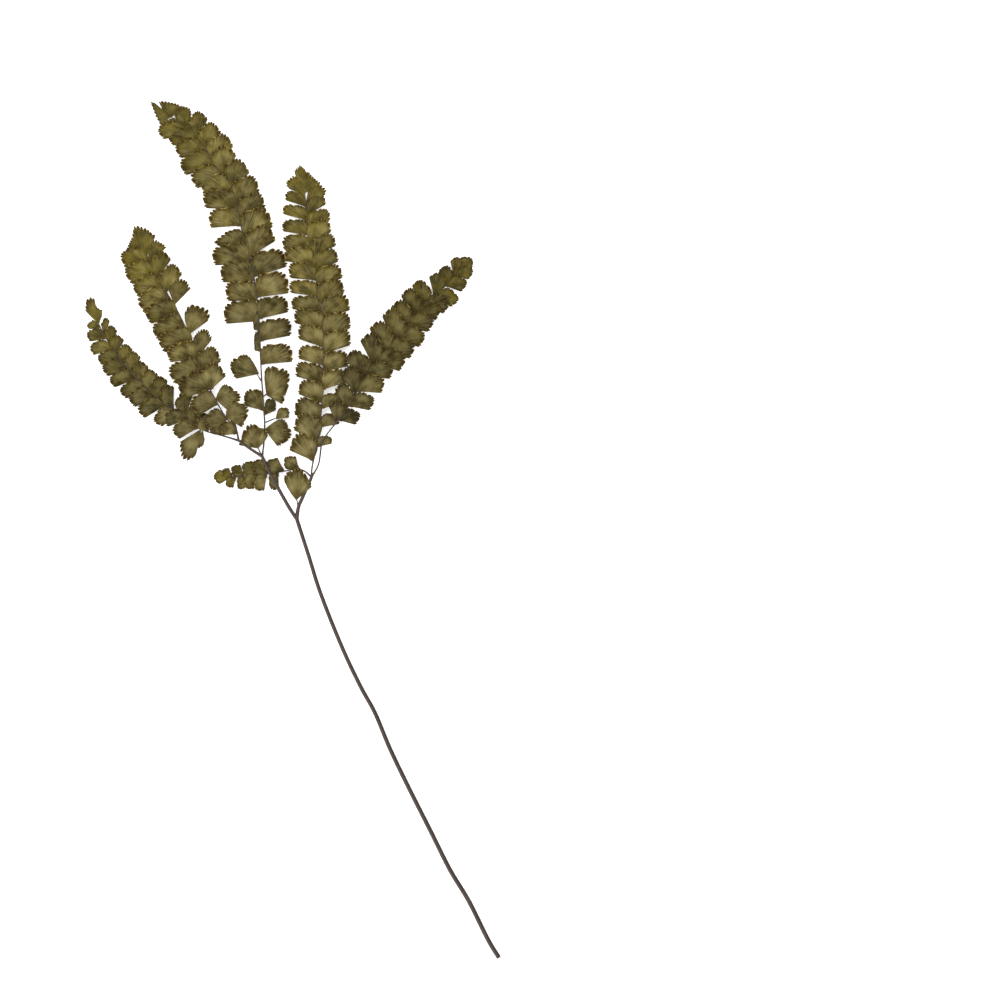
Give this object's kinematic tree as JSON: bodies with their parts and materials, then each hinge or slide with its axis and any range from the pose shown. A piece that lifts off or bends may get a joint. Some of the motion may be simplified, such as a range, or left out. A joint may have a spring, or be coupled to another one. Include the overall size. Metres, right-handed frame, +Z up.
{
  "type": "maidenhair fern frond",
  "caption": "Dried fern frond lying flat: a dark wiry stalk that forks, with long pinnae of small toothed fan leaflets",
  "frame": {"origin": "on the surface the frond lies on, under the middle of its footprint", "axes": "+Y runs along the frond from the cut end of the stalk to the tip of the tallest pinna, +X runs to the right as seen from above, +Z is up, away from the surface"},
  "size_m": [0.233, 0.4808, 0.013],
  "materials": {
    "stem": "dark wiry stem with a soft sheen",
    "leaf": "dry papery leaf, matte"
  },
  "bodies": {
    "root": {"stalk": "stem", "pinna_far_left": "leaf", "pinna_left": "leaf", "pinna_tall": "leaf", "pinna_middle": "leaf", "pinna_right": "leaf", "pinna_low": "leaf"}
  },
  "joints": []
}
